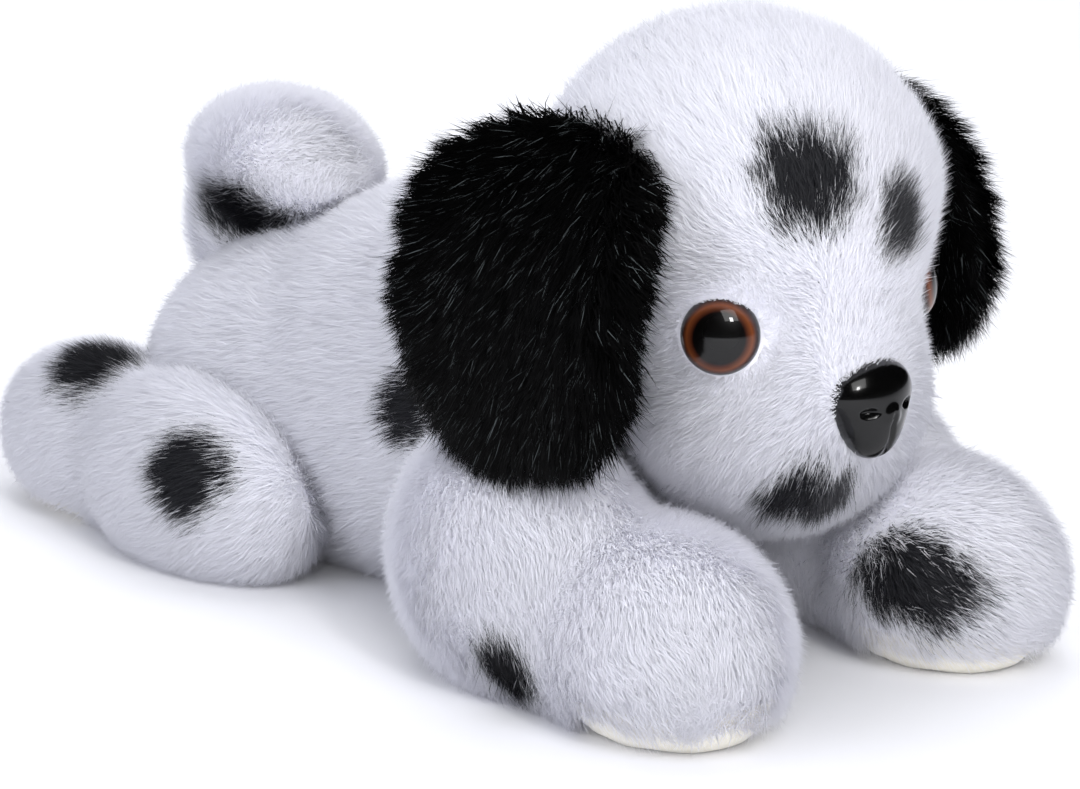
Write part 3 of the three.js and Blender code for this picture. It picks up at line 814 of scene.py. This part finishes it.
# %% Leg spots and combing
LEG_SPOTS = {"front_leg_right": [spot((-61, -84, 11), (8, 7, 8))],
             "front_leg_left": [spot((16, -125, 23), (13, 19, 10.5)), spot((60, -84, 26), (9, 9, 8))],
             "hind_leg_right": [spot((-58, 29, 27), (10.3, 10.3, 9.2)), spot((-44, 88, 38), (9, 12, 8))],
             "hind_leg_left": [spot((58, 42, 26), (10, 11, 9))]}
LEG_BLADES = {"front_leg_right": 120000, "front_leg_left": 106000,
              "hind_leg_right": 102000, "hind_leg_left": 86000}


def comb_front(own):
    """Forwards, outwards and down."""
    return np.stack([0.45 * np.sign(own[:, 0]), -0.8 * np.ones(len(own)), -0.4 * np.ones(len(own))], -1)


def comb_hind(own):
    """Backwards, outwards and down."""
    return np.stack([0.5 * np.sign(own[:, 0]), 0.65 * np.ones(len(own)), -0.5 * np.ones(len(own))], -1)


def on_sole(form, own):
    """Inside the oval of the sole's patch, low on the paw."""
    centre, _ = form.lobes[-1]
    toe = centre[1] + np.sign(centre[1]) * 8
    oval = ((own[:, 0] - centre[0]) / (leg_half * 1.25)) ** 2 + ((own[:, 1] - toe) / 24) ** 2
    return (oval < 1) & (own[:, 2] < 6)


print("leg spots:", {name: len(spots) for name, spots in LEG_SPOTS.items()})

# %% Legs
for name, form in legs.items():
    skin = make_skin(name + "_skin", form, toy_place, (64, 72), name,
                     (name + "_outer", name + "_inner"), LEG_SPOTS[name], passes=40)
    coat(name + "_pile", name, skin, name, LEG_BLADES[name], comb_front if "front" in name else comb_hind,
         LEG_PILE_LENGTH, LEG_SPOTS[name], lambda own, form=form: ~on_sole(form, own), LEG_SEAM_PILE,
         lean=(36, 76))

# %% [markdown]
# The tail is a short filled stem that turns forward into a plume over the rump. Its pile stands
# up more than the body's, which makes it look like a puff.

# %% Tail
TAIL_SPOTS = [spot((-8, 76, 72), (12, 15, 9))]


def comb_tail(own):
    """Up the stem and then forward along the plume."""
    forward = np.clip((own[:, 2] - rump_height - 4) / 14, 0, 1)
    return np.stack([np.zeros(len(own)), -forward, 1.2 - forward], -1)


tail_skin = make_skin("tail_skin", tail, toy_place, (48, 48), "tail",
                      ("tail_panel_left", "tail_panel_right"), TAIL_SPOTS)
coat("tail_pile", "tail", tail_skin, "tail", 62000, comb_tail, PILE_LENGTH, TAIL_SPOTS, lean=(28, 70))

# %% [markdown]
# An ear is two layers of black plush sewn into a flap and hung on the seam at the side of the
# head. It could be a cut sheet with a solidify modifier, but a flap of plush is plump in the
# middle and thin at its rim. So it is a closed lens, wrapped on a sheet that leaves the head and
# then hangs straight.

# %% The ear's shape
ear_top = head_half * 0.6
hinge_x = np.sqrt(head_half ** 2 - ear_top ** 2) + 1.6
ear_middle = {-1: EAR_WIDTH * 0.11, 1: EAR_WIDTH * 0.23}
ear_outline = np.array([[-0.3, 0.05], [-0.45, 0.19], [-0.49, 0.42], [-0.46, 0.76], [-0.3, 0.93], [-0.02, 1],
                        [0.26, 0.97], [0.43, 0.83], [0.52, 0.58], [0.54, 0.32], [0.4, 0.08], [0.02, 0]])


def ear_rim(turn):
    """Smooth closed curve through the outline's points: their Fourier series at `turn` (0..1)."""
    terms = np.fft.fft(ear_outline[:, 0] + 1j * ear_outline[:, 1]) / len(ear_outline)
    order = np.fft.fftfreq(len(ear_outline), 1 / len(ear_outline))
    curve = (terms * np.exp(2j * np.pi * order * turn[:, None])).sum(1)
    return curve.real * EAR_WIDTH, curve.imag * EAR_LENGTH


def ear_sheet(side, w, d):
    """The ear's middle sheet, w across and d down: x = hinge + flare (1 - exp(-d / fall))."""
    flare, fall = head_half * 0.6, head_half * 0.52
    x = hinge_x + flare * (1 - np.exp(-d / fall))
    slope = flare / fall * np.exp(-d / fall)
    at = np.stack([x, ear_middle[side] + w, ear_top - 1 - d], -1)
    return at, unit(np.stack([np.ones_like(slope), 0 * slope, slope], -1))


def ear_surface(side, around=64, along=28):
    """A closed lens on the sheet: rings from the outer middle over the rim to the inner middle."""
    directions = sphere_directions(around, along)
    lift = -directions[:, 1]
    reach = np.sqrt(np.maximum(0, 1 - lift ** 2))
    turn = (np.arctan2(directions[:, 2], directions[:, 0]) / (2 * np.pi)) % 1
    rim_w, rim_d = ear_rim(turn)
    at, normal = ear_sheet(side, rim_w * reach, EAR_LENGTH / 2 + (rim_d - EAR_LENGTH / 2) * reach)
    thick = np.where(lift > 0, 2.6, -1.4) * np.abs(lift) ** 0.6
    points = at + normal * thick[:, None]
    points[:, 0] *= side
    return points


print("the seam of an ear is", round(float(hinge_x), 1), "mm from the head's middle")

# %% [markdown]
# The ears' pile is coarser and longer than the coat, falls from the seam, and turns outwards at
# the rim in big tufts. Its colour is painted darker towards each fibre's root as shade, and a few
# fibres get a painted glint, light grey towards the tip. The pile is longer outside than on the
# side that lies on the cheek.

# %% Ears
def ear_combing(own, side):
    """Direction: down, plus 1.7 times the way from the flap's middle; and how near the rim it is."""
    w = own[:, 1] - ear_middle[side]
    d = ear_top - 1 - own[:, 2]
    fall = (d / EAR_LENGTH - 0.45) * 2
    spread = np.stack([0 * w, w / EAR_WIDTH * 2, -np.where(fall < 0, 0.35 * fall, fall)], -1)
    rimward = np.clip(np.linalg.norm(spread, axis=1, keepdims=True), 0, 1) ** 2
    return np.array([0, 0, -1.0]) + 1.7 * spread * rimward, rimward[:, 0]


for side, sign in SIDES.items():
    points = head_place.points(ear_surface(sign))
    skin = new_mesh(f"ear_{side}_skin", points, grid_faces(64, 28), black_backing)
    point_value(skin.data, "black", np.ones(len(points)))
    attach(skin, "ear_" + side)
    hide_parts(f"ear_{side}_outer", f"ear_{side}_inner")
    outward(skin)
    roots, ups = scatter(skin, 92000, lambda p, n: np.ones(len(p)))
    way, rimward = ear_combing(head_place.own(roots), sign)
    outside = (ups @ head_place.spin)[:, 0] * sign > 0
    length = np.where(outside, 10.0, 6.5) * (1 + 0.3 * rimward)
    piece = grow_pile(f"ear_{side}_pile", roots, ups, head_place.vectors(way), length,
                      np.ones(len(roots)), black_pile, width=0.34, lean=(34, 76), lock=3.6, pull=0.55,
                      mess=0.34)
    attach(piece, "ear_" + side)

# %% [markdown]
# A plush toy's eye is a dome of clear acrylic, painted brown behind with a black pupil, and
# polished. Real depth and refraction would cost many light paths for two small domes, so the
# colours are rings on the dome itself, under a clear coat that gives the sharp highlight.

# %% Eye material
def eye_material():
    """Rings of colour by "radius", 0 at the pupil's middle and 1 at the rim, under a clear coat."""
    material, tree, output = new_material("brown_acrylic_eye")
    level = add_node(tree, "ShaderNodeAttribute", {"attribute_name": "radius"})
    ramp = add_node(tree, "ShaderNodeValToRGB", None, Fac=level.outputs["Fac"])
    rings = [(0.0, "#020202"), (0.64, "#030202"), (0.71, "#3a1a0d"), (0.82, "#633318"), (0.9, "#33170c"),
             (0.96, "#050303"), (1.0, "#030202")]
    first, last = ramp.color_ramp.elements
    first.position, first.color = rings[0][0], linear(rings[0][1])
    last.position, last.color = rings[-1][0], linear(rings[-1][1])
    for position, colour in rings[1:-1]:
        ramp.color_ramp.elements.new(position).color = linear(colour)
    skin = add_node(tree, "ShaderNodeBsdfPrincipled", None, Base_Color=ramp.outputs[0], Roughness=0.4,
                    Specular_IOR_Level=0.1, Coat_Weight=1.0, Coat_Roughness=0.015, Coat_IOR=1.38)
    tree.links.new(skin.outputs[0], output.inputs["Surface"])
    return material


brown_acrylic = eye_material()
print("eye material:", brown_acrylic.name)

# %% Eyes
EYE_STAND = 4.2


def frame_on(normal):
    """Three axes whose third is the normal."""
    u = unit(np.cross([0, 0, 1.0], normal))
    return np.stack([u, np.cross(normal, u), normal], 1)


def eye_surface(around=64, along=40):
    """A ball squeezed to 0.66 of its height in front and 0.3 behind, and each point's radius."""
    directions = sphere_directions(around, along)
    height = -directions[:, 1]
    depth = np.where(height > 0, 0.66, 0.3) * height
    shape = np.stack([directions[:, 0], directions[:, 2], depth], -1) * eye_half
    return shape, np.hypot(directions[:, 0], directions[:, 2])


for side in SIDES:
    at, facing = eye_at[side], eye_facing[side]
    shape, radius = eye_surface()
    points = head_place.points(shape @ frame_on(facing).T + at + facing * EYE_STAND)
    eye = new_mesh(f"eye_{side}_ball", points, grid_faces(64, 40), brown_acrylic)
    outward(eye)
    point_value(eye.data, "radius", radius)
    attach(eye, "head")
    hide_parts(f"eye_{side}_dome", f"eye_{side}_back")
    print("eye", side, "is at, mm:", at.round(1))

# %% [markdown]
# The nose is one moulding of black ABS: glossy, with the faint unevenness of a steel mould. It
# is a form of three lobes that narrows downwards, with nostrils and a groove pressed in and a
# small boss between the nostrils, all by moving its front points along Y.

# %% Nose material
def black_nose_material():
    """Black under a thin gloss, with a bump of half-millimetre grain."""
    material, tree, output = new_material("black_moulded_abs")
    place = add_node(tree, "ShaderNodeTexCoord")
    grain = add_node(tree, "ShaderNodeTexNoise", None, Vector=place.outputs["Object"], Scale=0.5 / MM,
                     Detail=3.0)
    bump = add_node(tree, "ShaderNodeBump", None, Height=grain.outputs["Fac"], Strength=0.06,
                    Distance=0.1 * MM)
    skin = add_node(tree, "ShaderNodeBsdfPrincipled", None, Base_Color=linear("#040404"), Roughness=0.2,
                    Specular_IOR_Level=0.2, Coat_Weight=0.4, Coat_Roughness=0.05, Normal=bump.outputs[0])
    tree.links.new(skin.outputs[0], output.inputs["Surface"])
    return material


black_abs = black_nose_material()
print("nose material:", black_abs.name)

# %% Nose
NOSTRIL_DEPTH = 1.7
GROOVE_DEPTH = 0.8
BOSS_HEIGHT = 0.6
nose_form = Form((0, 0.5, 0), (1, 0.7, 1), [
    ((0, 0.5, nose_half * 0.28), (nose_half, nose_half * 0.62, nose_half * 0.66)),
    ((0, 0.4, -nose_half * 0.06), (nose_half * 0.84, nose_half * 0.62, nose_half * 0.74)),
    ((0, 0.3, -nose_half * 0.3), (nose_half * 0.6, nose_half * 0.6, nose_half * 0.75))], power=10)
directions = sphere_directions(96, 72)
shape = nose_form.points(directions * nose_form.aspect)
front = directions[:, 1] < 0
for sign in (-1, 1):
    away = np.hypot((shape[:, 0] - sign * nose_half * 0.5) / 1.7, (shape[:, 2] - nose_half * 0.04) / 0.9)
    shape[:, 1] += NOSTRIL_DEPTH * np.exp(-away ** 4) * front
groove = np.exp(-(shape[:, 0] / 0.5) ** 2) * np.clip(-shape[:, 2] / 2.5, 0, 1)
shape[:, 1] += GROOVE_DEPTH * groove * front
boss = np.exp(-np.hypot(shape[:, 0] / 2.2, (shape[:, 2] + 0.8) / 2.0) ** 4)
shape[:, 1] -= BOSS_HEIGHT * boss * front
nose = new_mesh("nose_moulding", head_place.points(shape + nose_at), grid_faces(96, 72), black_abs)
outward(nose)
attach(nose, "head")
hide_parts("nose")
print("the nose is, mm:", np.ptp(shape, axis=0).round(1))

# %% [markdown]
# The soles are cream fabric with a very short nap, like fine velvet: matt, a little uneven in
# tone, with a soft sheen at the edge. The nap is drawn at 1.2 mm, because the real one would be
# too fine to show.

# %% Sole material
NAP_SIZE = 1.2


def sole_material():
    """Two creams mixed by noise, with the same noise as bump."""
    material, tree, output = new_material("cream_short_nap")
    nap, tone = two_tones(tree, "#e0dbcc", "#f3f0e6", 1.0 / (NAP_SIZE * MM), 6.0)
    bump = add_node(tree, "ShaderNodeBump", None, Height=nap, Strength=0.5, Distance=0.25 * MM)
    skin = add_node(tree, "ShaderNodeBsdfPrincipled", None, Base_Color=tone, Roughness=0.9,
                    Sheen_Weight=0.3, Sheen_Roughness=0.4, Normal=bump.outputs[0])
    tree.links.new(skin.outputs[0], output.inputs["Surface"])
    return material


cream_nap = sole_material()
print("sole material:", cream_nap.name)

# %% Soles
def sole_surface(form, around=48, along=32):
    """A thin closed dish on the underside of a paw, its two sides up to 1.8 mm apart.

    Each direction leans up to 66 degrees off straight down; its point on the paw's lobe is
    moved out on the outer side and in on the inner side, and kept above the floor.
    """
    centre, radii = form.lobes[-1]
    sign = np.sign(centre[1])
    directions = sphere_directions(around, along)
    lift = -directions[:, 1]
    reach = np.sqrt(np.maximum(0, 1 - lift ** 2))
    turn = np.arctan2(directions[:, 2], directions[:, 0])
    span = np.radians(66) * reach
    down = np.stack([np.sin(span) * np.cos(turn), np.sin(span) * np.sin(turn) * 1.1 + sign * 0.25 * reach,
                     -np.cos(span)], -1)
    down = unit(down) * radii
    normal = unit(down / radii ** 2)
    surface = centre + down + normal * (0.5 + 0.9 * np.abs(lift) ** 0.5 * np.sign(lift))[:, None]
    surface[:, 2] = np.maximum(surface[:, 2], np.where(lift > 0, FLOOR * 0.5, FLOOR + 1.4))
    return surface


for name, form in legs.items():
    points = toy_place.points(sole_surface(form))
    sole = new_mesh(name + "_sole_pad", points, grid_faces(48, 32), cream_nap)
    outward(sole)
    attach(sole, name)
    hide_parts(name + "_sole")
    print(name, "sole is, mm:", np.ptp(points, axis=0).round(1))

# %% [markdown]
# Inside are polyester filling, a cotton bag of beans and polypropylene washers. Nobody sees
# them, but the model can be opened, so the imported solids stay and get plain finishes: fluffy,
# woven and milky, each as two close tones mixed by noise.

# %% Hidden pieces
def hidden_material(name, tint_a, tint_b, size):
    """Two tones mixed by noise whose lumps are `size` mm wide."""
    material, tree, output = new_material(name)
    _, tone = two_tones(tree, tint_a, tint_b, 1.0 / (size * MM), 4.0)
    skin = add_node(tree, "ShaderNodeBsdfPrincipled", None, Base_Color=tone, Roughness=0.9)
    tree.links.new(skin.outputs[0], output.inputs["Surface"])
    return material


hidden_finish = {"stuffing": hidden_material("polyester_fibre", "#e8e8e6", "#fbfbfa", 4.0),
                 "bag": hidden_material("cotton_bean_bag", "#cfc6b2", "#ddd5c4", 1.5),
                 "washer": hidden_material("natural_polypropylene", "#e0e0dc", "#ecece8", 3.0)}
hidden = {name: node for name, node in frame["nodes"].items() if name.split("_")[-1] in hidden_finish}
for name, node in hidden.items():
    node.data.materials.clear()
    node.data.materials.append(hidden_finish[name.split("_")[-1]])
print("hidden pieces with their own finishes:", len(hidden))

# %% [markdown]
# The floor is a sheet of pale card, so wide that its end is far behind the toy.

# %% Floor
FLOOR_HALF = 6.0


def studio_floor():
    """A square of two close greys mixed by slow noise, matt."""
    material, tree, output = new_material("pale_studio_card")
    _, tone = two_tones(tree, "#dedee1", "#e3e3e6", 4.0, 2.0)
    skin = add_node(tree, "ShaderNodeBsdfPrincipled", None, Base_Color=tone, Roughness=0.7)
    tree.links.new(skin.outputs[0], output.inputs["Surface"])
    mesh = bpy.data.meshes.new("studio_floor")
    corners = [(x * FLOOR_HALF, y * FLOOR_HALF, 0) for x, y in ((-1, -1), (1, -1), (1, 1), (-1, 1))]
    mesh.from_pydata(corners, [], [(0, 1, 2, 3)])
    return add_object(mesh, material)


studio_floor()
print("the floor is", 2 * FLOOR_HALF, "m wide")

# %% [markdown]
# White plush is lit softly from all round, or its folds turn grey: a key from above the camera,
# a wide front light, and weaker ones above, beside and behind. A small window light gives
# the eyes their sharp glint. The front and back lights and the air are kept out of reflections,
# so that the pupils and the nose stay black.

# %% Lights
def area_light(name, place, aim, size, power, colour="#ffffff", shines=True):
    """A rectangular light in metres and watts, turned to its aim."""
    light = bpy.data.lights.new(name, "AREA")
    light.shape = "RECTANGLE"
    light.size, light.size_y = size
    light.energy = power
    light.color = linear(colour)[:3]
    lamp = bpy.data.objects.new(name, light)
    lamp.location = place
    lamp.visible_glossy = shines
    lamp.rotation_euler = (Vector(aim) - Vector(place)).to_track_quat("-Z", "Y").to_euler()
    bpy.context.scene.collection.objects.link(lamp)


BODY = (0, 0, 0.05)
FACE = (0, -0.1, 0.08)
area_light("key_softbox", (-0.35, -1.1, 1.3), BODY, (0.9, 0.9), 10)
area_light("front_softbox", (-0.95, -1.2, 0.4), BODY, (1.3, 0.8), 9.5, shines=False)
area_light("window_softbox", (-0.338, -1.016, 0.802), FACE, (0.15, 0.2), 4)
area_light("top_softbox", (0.3, 0.4, 1.5), BODY, (1.2, 1.2), 8.5)
area_light("fill_softbox", (-1.5, 0.1, 0.7), BODY, (1.0, 1.0), 6.5, "#eef2ff")
area_light("back_softbox", (0.9, 1.4, 0.7), BODY, (1.3, 1.0), 9, "#f4f6ff", shines=False)
world = bpy.data.worlds.new("studio_air")
world.use_nodes = True
world.node_tree.nodes["Background"].inputs["Color"].default_value = linear("#f8faff")
world.node_tree.nodes["Background"].inputs["Strength"].default_value = 0.8
bpy.context.scene.world = world
world.cycles_visibility.glossy = False
bpy.context.scene.view_settings.view_transform = "Standard"

# %% [markdown]
# The camera looks at the toy from its front right and a little above. A long lens, from 0.9 m,
# keeps the paws from looking too big.

# %% Camera
CAMERA_AZIMUTH, CAMERA_ELEVATION, CAMERA_DISTANCE = -39.5, 14.5, 900.0
SENSOR_WIDTH = 36.0
VIEW_WIDTH = 243.0
azimuth, elevation = np.radians([CAMERA_AZIMUTH, CAMERA_ELEVATION])
back = np.array([np.sin(azimuth) * np.cos(elevation), -np.cos(azimuth) * np.cos(elevation),
                 np.sin(elevation)])
right = np.array([np.cos(azimuth), np.sin(azimuth), 0])
up = np.cross(back, right)
look = np.array([0, -30.0, 50.0]) + shift - 4.5 * right - 2.4 * up
camera_data = bpy.data.cameras.new("camera")
camera_data.sensor_width = SENSOR_WIDTH
camera_data.lens = SENSOR_WIDTH * CAMERA_DISTANCE / VIEW_WIDTH
camera_data.clip_start = 0.01
camera = bpy.data.objects.new("camera", camera_data)
turn_and_place = np.column_stack([right, up, back, (look + back * CAMERA_DISTANCE) * MM])
camera.matrix_world = Matrix([*turn_and_place.tolist(), [0, 0, 0, 1]])
bpy.context.scene.collection.objects.link(camera)
bpy.context.scene.camera = camera
print("lens, mm:", round(camera_data.lens, 2), "camera at, m:", np.round(camera.matrix_world.translation, 3))
